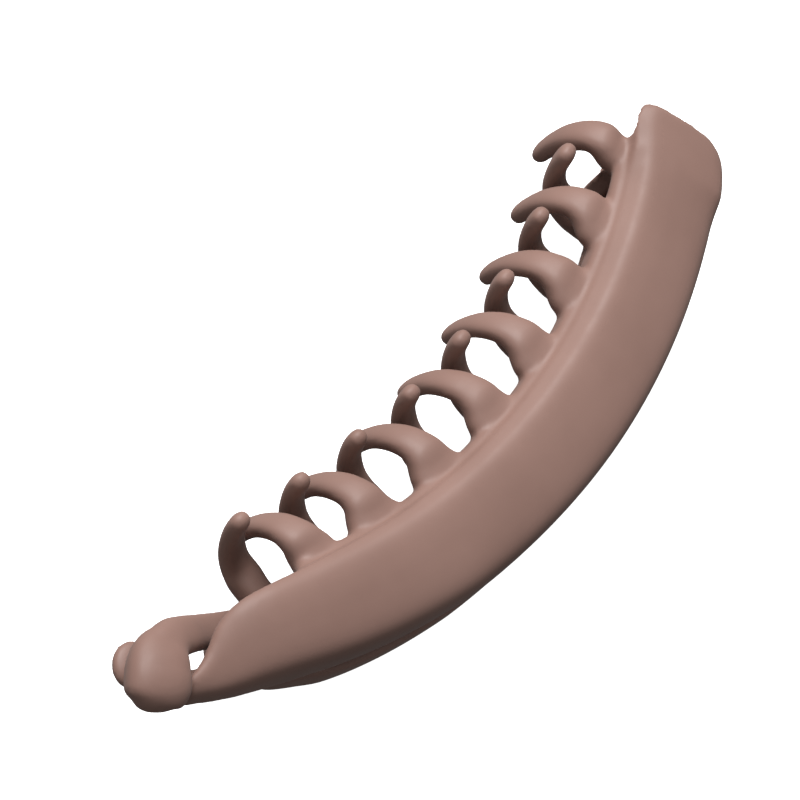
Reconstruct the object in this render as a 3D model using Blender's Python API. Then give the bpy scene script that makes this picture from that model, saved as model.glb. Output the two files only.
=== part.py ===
"""Ponytail clip (banana clip): two curved combs hinged at one end and caught at the other.

Blender units are metres and +Z is up. The clip lies on its side, closed: the lower half is nearest the floor and
the upper half is its near-mirror image. X runs along the clip from the catch (-X) to the hinge (+X), the covers
bulge toward -Y and the teeth point toward +Y. The sizes below are millimetres and degrees, scaled once by MM.
"""

import math

import bmesh
import bpy
import numpy as np

MM = 0.001

# ---- driving dimensions ----
ARC_X, ARC_Y = -3.0, 100.0         # centre of the banana curve
COVER_INNER_R = 112.5              # concave edge of a cover
COVER_OUTER_R = 127.4              # convex edge of a cover at the middle of the clip
HINGE_OUTER_R = 128.1              # and near the hinge
CROWN_Z = 10.0                     # crown of a cover above the parting plane
WALL_FOOT_Z = 1.6                  # free edge of the side wall above the parting plane
WALL_T = 2.1                       # thickness of the moulding
HINGE_END_DEG = 35.3               # where the covers end at the hinge
WEB_INNER_R = 110.5                # bottoms of the valleys between teeth
WEB_TOP_Z, WEB_FOOT_Z = 6.8, 2.6   # outer and inner face of the comb web
TOOTH_ROOT_R, TOOTH_ROOT_Z = 111.4, 5.0
TOOTH_TIP_Z = -7.3                 # the tips cross the parting plane
TOOTH_LEAN_DEG = -1.4              # a tooth leans this much from +Y toward +X at the middle of the clip
LEAN_PER_DEG = -0.39               # and this much more for each degree along the arc
LOWER_LEAN_ADD = -4.0              # the lower teeth lean this much more toward the catch
TOOTH_REACH_BEND, TOOTH_DROP_BEND = 0.58, 0.97   # how soon a tooth runs out and how soon it curls down
TIP_X, TIP_Y, TIP_ARC_R = -6.0, -0.3, 150.0      # the tips lie on a flatter arc than the covers
UPPER_TEETH_DEG = (31.6, 24.9, 18.3, 11.6, 4.9, -2.0, -8.8, -15.1)
LOWER_TEETH_DEG = (28.7, 22.1, 15.2, 8.3, 1.6, -4.9, -11.2, -17.1)
HINGE_X, HINGE_Y, HINGE_Z = 59.9, -1.5, 0.0
KNUCKLE_R, BORE_R, PIN_R = 3.3, 1.55, 1.2
KNUCKLE_GAP = 0.35
SLIVER_SHARE = 0.93                # share of the triangles kept when slivers are collapsed
LOWER_KNUCKLE_W, UPPER_KNUCKLE_W = 3.2, 4.9
KNOB_CENTRE = (-64.0, -5.5, 6.4)
KNOB_RADII = (5.1, 5.3, 3.6)


def table(names, *rows):
    """A short table as a dictionary of columns."""
    return {name: [row[i] for row in rows] for i, name in enumerate(names.split())}


# One row for each section of a cover. web is 1 where the comb web runs along the concave edge, 0 where there is none.
UPPER_CATCH_END = table(
    "deg    inner  outer   crown foot  web",
    (-27.3, 121.9, 124.5,  5.7,  1.0,  0.0),
    (-26.8, 120.7, 124.6,  6.0,  1.1,  0.0),
    (-26.3, 119.7, 124.75, 6.4,  1.1,  0.0),
    (-25.6, 118.0, 124.9,  6.9,  1.1,  0.0),
    (-25.0, 116.5, 125.0,  7.5,  1.2,  0.0),
    (-24.2, 115.2, 125.1,  8.2,  1.2,  0.0),
    (-23.3, 114.3, 125.15, 9.0,  1.2,  0.0),
    (-22.0, 113.6, 125.25, 9.7,  1.3,  0.0),
    (-20.4, 113.2, 125.4, 10.0,  1.3,  0.1),
    (-19.4, 113.0, 125.5, 10.0,  1.6,  0.8),
    (-18.4, 112.9, 125.65, 10.0, 1.6,  1.0),
    (-14.0, 112.5, 126.3, 10.0,  1.6,  1.0),
    (-6.0,  112.5, 127.3, 10.0,  1.6,  1.0),
)
LOWER_CATCH_END = table(
    "deg    inner  outer   crown foot  web",
    (-23.4, 113.6, 117.4,  7.0,  4.6,  0.0),
    (-23.0, 113.2, 118.5,  7.2,  3.9,  0.2),
    (-22.4, 113.0, 119.7,  7.5,  3.4,  0.6),
    (-21.7, 112.9, 121.0,  8.0,  3.1,  0.95),
    (-20.8, 112.7, 122.5,  8.5,  2.9,  1.0),
    (-19.8, 112.6, 124.0,  9.1,  2.6,  1.0),
    (-18.8, 112.5, 125.2,  9.6,  2.3,  1.0),
    (-17.8, 112.5, 126.0,  9.9,  1.9,  1.0),
    (-16.0, 112.5, 126.5, 10.0,  1.6,  1.0),
    (-12.0, 112.5, 127.0, 10.0,  1.6,  1.0),
    (-6.0,  112.5, 127.3, 10.0,  1.6,  1.0),
)
# The hinge end is the same on both halves: rows measured back from the end.
HINGE_END = table(
    "back  inner_add outer_less foot web",
    (6.7,  0.0,      0.0,       1.6, 1.0),
    (5.7,  0.0,      0.0,       2.2, 1.0),
    (4.7,  0.0,      0.0,       4.0, 1.0),
    (3.9,  0.0,      0.0,       5.6, 1.0),
    (3.3,  0.0,      0.05,      5.7, 1.0),
    (2.7,  0.05,     0.15,      5.8, 0.8),
    (2.0,  0.13,     0.35,      6.0, 0.2),
    (1.6,  0.15,      0.6,       6.1, 0.0),
    (1.0,  0.35,      1.1,       6.2, 0.0),
    (0.4,  0.8,      2.0,       6.3, 0.0),
    (0.0,  1.6,      3.4,       6.4, 0.0),
)
# Outer skin of a cover, from the concave shoulder over the crown and down the side wall.
SKIN = table(
    "across drop",
    (0.02,  2.3), (0.045, 1.45), (0.075, 0.75), (0.115, 0.28), (0.17, 0.05), (0.25, 0.0), (0.4, 0.16),
    (0.55,  0.5), (0.7, 0.95), (0.82, 1.45), (0.9, 1.95), (0.955, 2.7), (0.985, 3.7), (1.0, 5.0),
    (1.0,   7.2), (0.985, 8.3),
)
# A tooth from its buried root (0) to its tip (1).
TOOTH = table(
    "along half_width half_depth",
    (0.0,   4.6,      1.5),
    (0.02,  3.9,      1.6),
    (0.06,  3.3,      1.65),
    (0.12,  2.95,     1.65),
    (0.2,   2.75,     1.6),
    (0.3,   2.55,     1.55),
    (0.42,  2.35,     1.5),
    (0.55,  2.1,      1.45),
    (0.68,  1.85,     1.4),
    (0.8,   1.6,      1.35),
    (0.9,   1.4,      1.25),
    (0.96,  1.15,     1.0),
    (0.99,  0.7,      0.65),
    (1.0,   0.3,      0.3),
)
# Tongue of the upper half and strap of the lower half: one row for each section. turn is the heading of the
# section's width, in degrees round the arc's centre.
TONGUE = table(
    "x      y      z    half_width half_depth turn",
    (-50.4, -11.0, 6.0, 2.6,       1.2,       -26),
    (-52.1, -10.4, 5.6, 2.8,       1.4,       -25),
    (-54.4, -9.9,  4.4, 2.7,       1.5,       -26),
    (-56.1, -9.3,  3.0, 2.4,       1.45,      -30),
    (-57.6, -8.3,  1.7, 2.3,       1.35,      -38),
    (-59.1, -6.85, 1.1, 2.4,       1.3,       -50),
    (-60.5, -4.95, 0.9, 2.9,       1.25,      -60),
    (-61.6, -3.3,  0.8, 3.4,       1.2,       -63),
    (-62.5, -1.9,  0.8, 3.4,       1.2,       -63),
    (-63.2, -0.9,  0.8, 2.7,       1.1,       -63),
    (-63.65, -0.25, 0.8, 1.6,      0.8,       -63),
    (-63.8, 0.0,   0.8, 0.6,       0.4,       -63),
)
STRAP = table(
    "x      y      z     half_width half_depth turn",
    (-35.2, -10.3, -7.2, 2.4,      1.2,       -20),
    (-37.8, -9.3,  -6.7, 2.6,      1.5,       -20),
    (-41.5, -7.9,  -5.2, 2.6,      1.5,       -20),
    (-46.2, -6.2,  -2.5, 2.65,     1.55,      -20),
    (-50.6, -4.6,  0.8,  2.6,      1.5,       -20),
    (-54.7, -3.2,  3.8,  2.6,      1.55,      -18),
    (-58.2, -2.5,  5.6,  2.7,      1.6,       -10),
    (-61.3, -2.7,  6.3,  2.8,      1.6,       20),
    (-63.0, -3.9,  6.4,  2.2,      1.4,       40),
)

for old in list(bpy.data.objects):
    bpy.data.objects.remove(old, do_unlink=True)

parts = bpy.data.collections.new("ponytail_clip")
bpy.context.scene.collection.children.link(parts)
tools = bpy.data.collections.new("ponytail_clip_tools")
tools.hide_render = True
bpy.context.scene.collection.children.link(tools)


# ---- helpers ----
def smooth(x, a, b):
    """0 before a, 1 after b, easing between."""
    t = min(max((x - a) / (b - a), 0.0), 1.0)
    return t * t * (3 - 2 * t)


def on_arc(deg, radius, z):
    a = math.radians(deg)
    return (ARC_X + radius * math.sin(a), ARC_Y - radius * math.cos(a), z)


def outward(deg):
    """Unit vector from the arc's centre at this angle."""
    a = math.radians(deg)
    return np.array([math.sin(a), -math.cos(a), 0.0])


def skin_over(name, rings, side=1):
    """A closed mesh over rings of equal length, capped at both ends and mirrored in Z when side is -1."""
    bm = bmesh.new()
    rows = [[bm.verts.new((p[0] * MM, p[1] * MM, side * p[2] * MM)) for p in ring] for ring in rings]
    count = len(rows[0])
    for near, far in zip(rows[:-1], rows[1:]):
        for i in range(count):
            j = (i + 1) % count
            bm.faces.new((near[i], near[j], far[j], far[i]))
    for row in (rows[0], rows[-1]):
        bm.faces.new(row)
    bmesh.ops.triangulate(bm, faces=[face for face in bm.faces if len(face.verts) > 4])
    bmesh.ops.recalc_face_normals(bm, faces=bm.faces)
    mesh = bpy.data.meshes.new(name)
    bm.to_mesh(mesh)
    bm.free()
    return mesh


def add_tool(mesh):
    tool = bpy.data.objects.new(mesh.name, mesh)
    tool.display_type = "WIRE"
    tool.hide_render = True
    tools.objects.link(tool)
    return tool


def boolean(target, tool, operation):
    modifier = target.modifiers.new(tool.name, "BOOLEAN")
    modifier.operation = operation
    modifier.solver = "MANIFOLD"
    modifier.object = tool


def tidy_slivers(part, share):
    """Collapses the thinnest triangles that the Booleans leave, which a STEP file can't hold."""
    modifier = part.modifiers.new("tidy_slivers", "DECIMATE")
    modifier.decimate_type = "COLLAPSE"
    modifier.ratio = share


def add_part(name, mesh, material):
    part = bpy.data.objects.new(name, mesh)
    mesh.materials.append(material)
    parts.objects.link(part)
    return part


def plain_material(name, colour, roughness, metallic=0.0):
    material = bpy.data.materials.new(name)
    material.use_nodes = True
    shader = material.node_tree.nodes["Principled BSDF"]
    shader.inputs["Base Color"].default_value = (*colour, 1)
    shader.inputs["Roughness"].default_value = roughness
    shader.inputs["Metallic"].default_value = metallic
    return material


# ---- cover and comb web: one channel section carried along the arc ----
def section_sizes(deg, catch_end):
    """inner, outer, crown, foot and web of the section at this angle."""
    back = HINGE_END_DEG - deg
    if back < 6.7:
        backs = HINGE_END["back"][::-1]
        inner_add, outer_less, foot, web = (
            float(np.interp(back, backs, HINGE_END[name][::-1])) for name in ("inner_add", "outer_less", "foot", "web"))
        return COVER_INNER_R + inner_add, HINGE_OUTER_R - outer_less, CROWN_Z, foot, web
    if deg < -6:
        return tuple(float(np.interp(deg, catch_end["deg"], catch_end[name]))
                     for name in ("inner", "outer", "crown", "foot", "web"))
    outer = float(np.interp(deg, (-6, 0, 10, 20, 30), (127.3, COVER_OUTER_R, COVER_OUTER_R + 0.3,
                                                      HINGE_OUTER_R - 0.2, HINGE_OUTER_R)))
    return COVER_INNER_R, outer, CROWN_Z, WALL_FOOT_Z, 1.0


def section(deg, catch_end):
    """(radius, z) round the channel section: outer skin, foot of the wall, underside, then the comb web."""
    inner, outer, crown, foot, web = section_sizes(deg, catch_end)
    span = outer - inner
    fall = (crown - foot) / (CROWN_Z - WALL_FOOT_Z)
    thick = min(WALL_T, 0.21 * span)
    under = crown - 2.3 * min(fall, 1.0)
    points = [(inner + a * span, crown - d * fall) for a, d in zip(SKIN["across"], SKIN["drop"])]
    points += [(outer - 0.5 * thick, foot), (outer - 0.9 * thick, foot + 0.3 * fall)]
    hollow_from = len(points)
    points += [(outer - thick, foot + (under - foot) * 0.4), (outer - 1.3 * thick, foot + (under - foot) * 0.68),
               (outer - 2.1 * thick, foot + (under - foot) * 0.88), (inner + 0.5 * span, under - 0.12 * fall)]
    plain_edge = [(inner + a * span, under + d) for a, d in
                  zip((0.3, 0.24, 0.18, 0.13, 0.09, 0.055, 0.03, 0.01, 0.0, -0.001),
                      (0.0, -0.01, -0.02, -0.01, 0.0, 0.03, 0.08, 0.16, 0.28, 0.4))]
    web_edge = [(inner + 3.6, under - 0.1), (inner + 2.3, under - 0.9), (inner + 1.9, 4.6), (inner + 1.5, 2.9),
                (inner + 0.9, WEB_FOOT_Z), (WEB_INNER_R + 0.8, WEB_FOOT_Z), (WEB_INNER_R + 0.15, WEB_FOOT_Z + 0.7),
                (WEB_INNER_R, 4.7), (WEB_INNER_R + 0.2, WEB_TOP_Z - 0.7), (WEB_INNER_R + 0.9, WEB_TOP_Z)]
    points += [(p[0] + (w[0] - p[0]) * web, p[1] + (w[1] - p[1]) * web) for p, w in zip(plain_edge, web_edge)]
    points.append((inner, crown - 1.95 * fall - 0.9 * web))
    if catch_end is LOWER_CATCH_END:
        # toward the strap the channel fills up, so that the moulding closes instead of ending as a fork
        hollow = smooth(deg, -21.5, -17.5)
        floor = foot + 0.3 * fall
        for k in range(hollow_from, hollow_from + 11):
            radius, z = points[k]
            points[k] = (radius, floor + (z - floor) * hollow)
    return points


def cover_mesh(name, catch_end, side):
    start = catch_end["deg"][0]
    degs = [start + step for step in (0, 0.4, 0.9, 1.6, 2.5, 3.4, 4.3, 5.2, 6.1, 7.2)]
    degs += list(np.arange(degs[-1] + 2.0, 28.0, 2.35))
    degs += [HINGE_END_DEG - back for back in HINGE_END["back"]]
    rings = []
    for deg in degs:
        slant = 0.17 * smooth(deg, 20.0, HINGE_END_DEG)     # the end is cut a little aslant
        rings.append([on_arc(deg - slant * max(r - 116.5, -1.0), r, z) for r, z in section(deg, catch_end)])
    return skin_over(name, rings, side)


# ---- limbs: teeth, tongue and strap are rounded rings carried along a line ----
def limb_mesh(name, path, half_widths, half_depths, widths, side=1, points=12, power=2.3):
    """widths holds a unit vector for each section, the way its width lies."""
    along = np.gradient(path, axis=0)
    along /= np.linalg.norm(along, axis=1)[:, None]
    rings = []
    for centre, way, half_w, half_d, wide in zip(path, along, half_widths, half_depths, widths):
        deep = np.cross(way, wide)
        deep /= np.linalg.norm(deep)
        ring = []
        for k in range(points):
            a = 2 * math.pi * (k + 0.5) / points
            c, s = math.cos(a), math.sin(a)
            ring.append(centre + wide * half_w * math.copysign(abs(c) ** (2 / power), c)
                        + deep * half_d * math.copysign(abs(s) ** (2 / power), s))
        rings.append(ring)
    return skin_over(name, rings, side)


def tooth_mesh(name, root_deg, side):
    """One tooth: out from the web, then curling across to the other half."""
    lean = math.radians(TOOTH_LEAN_DEG + LEAN_PER_DEG * root_deg + (LOWER_LEAN_ADD if side < 0 else 0.0))
    way = np.array([math.sin(lean), math.cos(lean), 0.0])
    across = np.array([math.cos(lean), -math.sin(lean), 0.0])
    web_way = np.array([math.cos(math.radians(root_deg)), math.sin(math.radians(root_deg)), 0.0])
    root = np.array(on_arc(root_deg, TOOTH_ROOT_R, TOOTH_ROOT_Z))
    tip_y = TIP_Y + (root[0] - TIP_X) ** 2 / (2 * TIP_ARC_R)
    reach = (tip_y - root[1]) / way[1]
    path, widths = [root - way * 0.9 + np.array([0, 0, 0.4])], [web_way]
    for t in TOOTH["along"][1:]:
        a = t * math.pi / 2
        out = math.sin(a) ** TOOTH_REACH_BEND
        drop = (1 - math.cos(a)) ** TOOTH_DROP_BEND
        path.append(root + way * (reach * out) + np.array([0, 0, (TOOTH_TIP_Z - TOOTH_ROOT_Z) * drop]))
        turned = smooth(t, 0.0, 0.2)
        wide = web_way * (1 - turned) + across * turned
        widths.append(wide / np.linalg.norm(wide))
    return limb_mesh(name, np.array(path), TOOTH["half_width"], TOOTH["half_depth"], widths, side)


def table_limb(name, rows):
    path = np.array([rows["x"], rows["y"], rows["z"]]).T
    along = np.gradient(path, axis=0)
    along /= np.linalg.norm(along, axis=1)[:, None]
    widths = []
    for way, turn in zip(along, rows["turn"]):
        wide = outward(turn)
        wide = wide - way * wide.dot(way)
        widths.append(wide / np.linalg.norm(wide))
    return limb_mesh(name, path, rows["half_width"], rows["half_depth"], widths)


# ---- catch knob, knuckles and pin ----
def knob_mesh(name, rings=9, points=18):
    rows = []
    for k in range(rings):
        a = (k + 0.35) / (rings - 0.3) * math.pi
        rows.append([(KNOB_CENTRE[0] + KNOB_RADII[0] * math.sin(a) * math.cos(2 * math.pi * i / points),
                      KNOB_CENTRE[1] + KNOB_RADII[1] * math.sin(a) * math.sin(2 * math.pi * i / points),
                      KNOB_CENTRE[2] + KNOB_RADII[2] * math.cos(a)) for i in range(points)])
    return skin_over(name, rows)


def knuckle_mesh(name, centre_y, width, side):
    """A knuckle and the lug that joins it to the underside of its cover."""
    shape = [(HINGE_X - KNUCKLE_R - 1.2, 8.0), (HINGE_X - KNUCKLE_R, 3.0)]
    for k in range(9):
        a = math.pi + k * math.pi / 8
        shape.append((HINGE_X + KNUCKLE_R * math.cos(a), HINGE_Z + KNUCKLE_R * math.sin(a)))
    shape += [(HINGE_X + KNUCKLE_R, 3.0), (HINGE_X + KNUCKLE_R - 0.9, 8.0)]
    rings = [[(x, y, z) for x, z in shape] for y in (centre_y - width / 2, centre_y + width / 2)]
    return skin_over(name, rings, side)


def rod_mesh(name, length, radius, points):
    rings = []
    for y in (HINGE_Y - length / 2, HINGE_Y + length / 2):
        rings.append([(HINGE_X + radius * math.cos(2 * math.pi * (k + 0.5) / points), y,
                       HINGE_Z + radius * math.sin(2 * math.pi * (k + 0.5) / points)) for k in range(points)])
    return skin_over(name, rings)


# ---- build ----
plastic = plain_material("mauve_brown_plastic", (0.33, 0.235, 0.205), 0.55)
steel = plain_material("pin_steel", (0.55, 0.54, 0.52), 0.35, 1.0)
bore = add_tool(rod_mesh("hinge_bore", 30.0, BORE_R, 20))
knuckle_step = UPPER_KNUCKLE_W / 2 + KNUCKLE_GAP + LOWER_KNUCKLE_W / 2

upper = add_part("upper_half", cover_mesh("upper_half", UPPER_CATCH_END, 1), plastic)
for number, root_deg in enumerate(UPPER_TEETH_DEG, 1):
    boolean(upper, add_tool(tooth_mesh(f"upper_tooth_{number}", root_deg, 1)), "UNION")
boolean(upper, add_tool(table_limb("upper_tongue", TONGUE)), "UNION")
boolean(upper, add_tool(knuckle_mesh("upper_knuckle", HINGE_Y, UPPER_KNUCKLE_W, 1)), "UNION")
boolean(upper, bore, "DIFFERENCE")
tidy_slivers(upper, SLIVER_SHARE)

lower = add_part("lower_half", cover_mesh("lower_half", LOWER_CATCH_END, -1), plastic)
for number, root_deg in enumerate(LOWER_TEETH_DEG, 1):
    boolean(lower, add_tool(tooth_mesh(f"lower_tooth_{number}", root_deg, -1)), "UNION")
boolean(lower, add_tool(table_limb("lower_strap", STRAP)), "UNION")
boolean(lower, add_tool(knob_mesh("lower_knob")), "UNION")
for label, y in (("front", HINGE_Y - knuckle_step), ("back", HINGE_Y + knuckle_step)):
    boolean(lower, add_tool(knuckle_mesh(f"lower_knuckle_{label}", y, LOWER_KNUCKLE_W, -1)), "UNION")
boolean(lower, bore, "DIFFERENCE")
tidy_slivers(lower, SLIVER_SHARE)

add_part("hinge_pin", rod_mesh("hinge_pin", 2 * knuckle_step + LOWER_KNUCKLE_W, PIN_R, 24), steel)
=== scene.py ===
# %% [markdown]
# # A ponytail clip, dressed for its picture
# A banana clip is two curved combs of one soft-looking plastic. They turn on a pin at one end and snap
# together at the other, and their teeth cross in the middle to hold the hair.
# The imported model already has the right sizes, but its faces are flat. This lesson models both mouldings
# again from the same curves, finely enough to look moulded. Then it gives them their finish, a floor, light
# and a camera.

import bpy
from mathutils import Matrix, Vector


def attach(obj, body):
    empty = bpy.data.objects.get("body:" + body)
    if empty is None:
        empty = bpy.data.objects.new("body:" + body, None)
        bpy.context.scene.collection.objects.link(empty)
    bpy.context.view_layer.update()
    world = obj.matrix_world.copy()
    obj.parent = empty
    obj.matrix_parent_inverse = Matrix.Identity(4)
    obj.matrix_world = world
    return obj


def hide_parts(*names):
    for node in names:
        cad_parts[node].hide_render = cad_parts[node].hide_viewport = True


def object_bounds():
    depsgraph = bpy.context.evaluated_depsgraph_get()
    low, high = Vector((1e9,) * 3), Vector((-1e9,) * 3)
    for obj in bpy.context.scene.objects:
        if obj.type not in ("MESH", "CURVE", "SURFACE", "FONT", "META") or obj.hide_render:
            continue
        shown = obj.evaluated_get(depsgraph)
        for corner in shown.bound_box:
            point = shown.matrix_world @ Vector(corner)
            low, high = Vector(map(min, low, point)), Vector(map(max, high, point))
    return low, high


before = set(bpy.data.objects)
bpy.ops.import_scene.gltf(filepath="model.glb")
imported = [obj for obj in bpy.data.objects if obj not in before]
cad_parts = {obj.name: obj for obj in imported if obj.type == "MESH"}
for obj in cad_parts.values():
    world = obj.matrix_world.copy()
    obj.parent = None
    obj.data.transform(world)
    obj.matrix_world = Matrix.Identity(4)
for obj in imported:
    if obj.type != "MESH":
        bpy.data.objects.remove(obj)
cad_low, cad_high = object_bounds()
print("packed model, mm:", [round(1000 * (b - a), 1) for a, b in zip(cad_low, cad_high)])

# %% Modules and units
import math

import bmesh
import bpy
import numpy as np
from mathutils import Matrix, Vector

MM = 0.001
print("sizes below are millimetres and degrees; MM turns them into Blender's metres")

# %% [markdown]
# ## The banana curve
# Both covers follow one circle. So a place on the clip is easiest to give as an angle and a radius about
# that circle's centre, and one helper turns those into x and y. The clip lies closed on its side: X runs
# from the catch to the hinge, the covers bulge toward -Y, and the teeth point toward +Y. Heights are given
# for the upper half. The lower half's cover, teeth and knuckles use the same kind of heights and are turned
# over by a mirror at z = 0.

# %% Places on the curve
ARC_X = -3.0
ARC_Y = 100.0


def on_arc(deg, radius, z):
    """A point at this angle and radius about the curve's centre."""
    turn = math.radians(deg)
    return np.array([ARC_X + radius * math.sin(turn), ARC_Y - radius * math.cos(turn), z])


def outward(deg):
    """The way that points out from the curve's centre at this angle."""
    turn = math.radians(deg)
    return np.array([math.sin(turn), -math.cos(turn), 0.0])


print("middle of the cover's concave edge:", on_arc(0, 112.5, 10.0))

# %% [markdown]
# ## Short tables, smooth shapes
# A moulded shape is easy to describe by a few sections and hard to describe by hundreds of points. Straight
# lines between the rows of a table would show as bands in the light. `glide` instead runs a cubic curve
# through them, with slopes chosen so that it never swings past a row.

# %% A table and a smooth curve through its rows
def table(names, *rows):
    """Rows of numbers as named columns."""
    columns = zip(*rows)
    return dict(zip(names.split(), (np.array(column, float) for column in columns)))


def glide(at, known_at, known):
    """Values of a smooth curve through the known ones, without overshoot."""
    at = np.clip(np.atleast_1d(np.array(at, float)), known_at[0], known_at[-1])
    step = np.diff(known_at)
    rise = np.diff(known) / step
    slope = np.zeros(len(known))
    slope[0] = rise[0]
    slope[-1] = rise[-1]
    before = rise[:-1]
    after = rise[1:]
    same_way = before * after > 0
    slope[1:-1][same_way] = 2 * (before * after)[same_way] / (before + after)[same_way]
    i = np.clip(np.searchsorted(known_at, at) - 1, 0, len(step) - 1)
    t = (at - known_at[i]) / step[i]
    bend = step[i] * (t**3 - 2 * t**2 + t) * slope[i] + step[i] * (t**3 - t**2) * slope[i + 1]
    return known[i] * (2 * t**3 - 3 * t**2 + 1) + known[i + 1] * (3 * t**2 - 2 * t**3) + bend


def ease(x, start, end):
    """0 before start, 1 after end, and an S-shaped change between."""
    t = min(max((x - start) / (end - start), 0.0), 1.0)
    return t * t * (3 - 2 * t)


print("halfway through an ease:", ease(0.5, 0, 1))

# %% [markdown]
# ## Skins over rings
# Every form here is a ring of points carried along a line: the channel of a cover, a tooth, the strap.
# `skin` joins each ring to the next with a strip of quads and closes the two ends. Blender's curves with a
# bevel could do a plain tube, but not a section that changes as it goes.

# %% Skin a list of rings
def skin(name, rings, side=1):
    """A closed mesh over rings of equal length. side is -1 for the lower half, which mirrors Z."""
    mirror = np.array([1, 1, side]) * MM
    bm = bmesh.new()
    rows = [[bm.verts.new(point * mirror) for point in ring] for ring in rings]
    count = len(rows[0])
    for row, following in zip(rows[:-1], rows[1:]):
        for i in range(count):
            j = (i + 1) % count
            bm.faces.new((row[i], row[j], following[j], following[i]))
    bm.faces.new(rows[0])
    bm.faces.new(rows[-1])
    bmesh.ops.triangulate(bm, faces=[face for face in bm.faces if len(face.verts) > 4])
    bmesh.ops.recalc_face_normals(bm, faces=bm.faces)
    mesh = bpy.data.meshes.new(name)
    bm.to_mesh(mesh)
    bm.free()
    made = bpy.data.objects.new(name, mesh)
    bpy.context.scene.collection.objects.link(made)
    return made


print("skin() is ready")

# %% [markdown]
# ## The cover's section
# Cut across, a cover is a shallow channel: a gently rounded face, a slanted strip along the concave edge
# that catches the light, a side wall on the convex edge, and a lower ledge, the web, from which the teeth
# grow. The face is highest near the strip and falls slowly toward the convex edge, so it darkens that way.
# The table goes over the outside: how far across, as a share of the width, and how far below the crown.

# %% Outer skin of a cover, from the slanted strip over the crown and down the wall
COVER_INNER_R = 112.5
COVER_OUTER_R = 127.4
HINGE_OUTER_R = 127.9
CROWN_Z = 10.0
WALL_FOOT_Z = 1.6
WALL_T = 2.1
SKIN = table(
    "across drop",
    (0.0,   2.2),
    (0.012, 1.95),
    (0.03,  1.7),
    (0.055, 1.35),
    (0.105, 0.65),
    (0.13,  0.35),
    (0.17,  0.1),
    (0.25,  0.0),
    (0.4,   0.16),
    (0.55,  0.5),
    (0.7,   0.95),
    (0.82,  1.45),
    (0.9,   1.98),
    (0.955, 2.7),
    (0.985, 3.7),
    (0.998, 5.0),
    (1.0,   6.6),
    (0.996, 8.0),
)
SKIN_STEPS = 46
order = np.arange(len(SKIN["across"]))
fine = np.linspace(0, order[-1], SKIN_STEPS)
skin_across = glide(fine, order, SKIN["across"])
skin_drop = glide(fine, order, SKIN["drop"])
print(SKIN_STEPS, "points over the outside of each section")

# %% [markdown]
# ## From the middle to the two ends
# The middle of a cover keeps one section. Toward the catch both covers narrow: the upper one to the foot of
# its tongue, the lower one to where its strap leaves. At the hinge the corners are rounded off, and the side
# wall stops short so that the halves can swing past each other. One could model the ends by hand, but a
# table of sections keeps them in step with the curve.
# Each table gives the section at a few angles. The columns are the inner and outer radius, the height of the
# crown, the foot of the wall, and how much of the web is there, from 0 to 1. At the hinge the rows are
# counted back from the end, and say how much narrower the cover is than in the middle.

# %% The upper cover toward the catch
UPPER_CATCH_END = table(
    "deg    inner  outer   crown foot  web",
    (-27.8, 122.1, 124.4,  5.3,  1.0,  0.0),
    (-27.6, 121.6, 124.5,  5.6,  1.0,  0.0),
    (-27.2, 121.2, 124.55, 5.9,  1.0,  0.0),
    (-26.8, 120.6, 124.6,  6.2,  1.1,  0.0),
    (-26.3, 119.7, 124.75, 6.4,  1.1,  0.0),
    (-25.6, 118.0, 124.9,  6.9,  1.1,  0.0),
    (-25.0, 116.5, 125.0,  7.5,  1.2,  0.0),
    (-24.2, 115.2, 125.1,  8.2,  1.2,  0.0),
    (-23.3, 114.3, 125.15, 9.0,  1.2,  0.0),
    (-22.0, 113.6, 125.25, 9.7,  1.3,  0.0),
    (-20.4, 113.2, 125.4, 10.0,  1.4,  0.0),
    (-19.4, 113.0, 125.5, 10.0,  1.5,  0.0),
    (-18.4, 112.9, 125.65, 10.0, 1.6,  0.0),
    (-17.6, 112.8, 125.8, 10.0,  1.6,  0.1),
    (-16.6, 112.7, 125.95, 10.0, 1.6,  0.8),
    (-15.6, 112.6, 126.1, 10.0,  1.6,  1.0),
    (-14.0, 112.5, 126.3, 10.0,  1.6,  1.0),
    (-6.0,  112.5, 127.3, 10.0,  1.6,  1.0),
)
print("the upper cover starts at", UPPER_CATCH_END["deg"][0], "degrees")

# %% The lower cover toward the catch
LOWER_CATCH_END = table(
    "deg    inner  outer   crown foot  web",
    (-22.8, 115.8, 117.8,  7.3,  4.9,  0.0),
    (-22.5, 115.1, 118.8,  7.5,  4.2,  0.0),
    (-22.1, 114.8, 119.9,  7.7,  3.6,  0.0),
    (-21.5, 114.6, 121.3,  8.1,  3.2,  0.0),
    (-20.8, 114.3, 122.5,  8.5,  2.9,  0.1),
    (-19.8, 113.9, 124.0,  9.1,  2.6,  0.6),
    (-18.8, 113.3, 124.6,  9.5,  2.3,  1.0),
    (-17.8, 112.8, 125.1,  9.8,  1.9,  1.0),
    (-16.0, 112.5, 126.0, 10.0,  1.6,  1.0),
    (-12.0, 112.5, 126.7, 10.0,  1.6,  1.0),
    (-6.0,  112.5, 127.3, 10.0,  1.6,  1.0),
)
print("the lower cover starts at", LOWER_CATCH_END["deg"][0], "degrees")

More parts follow.
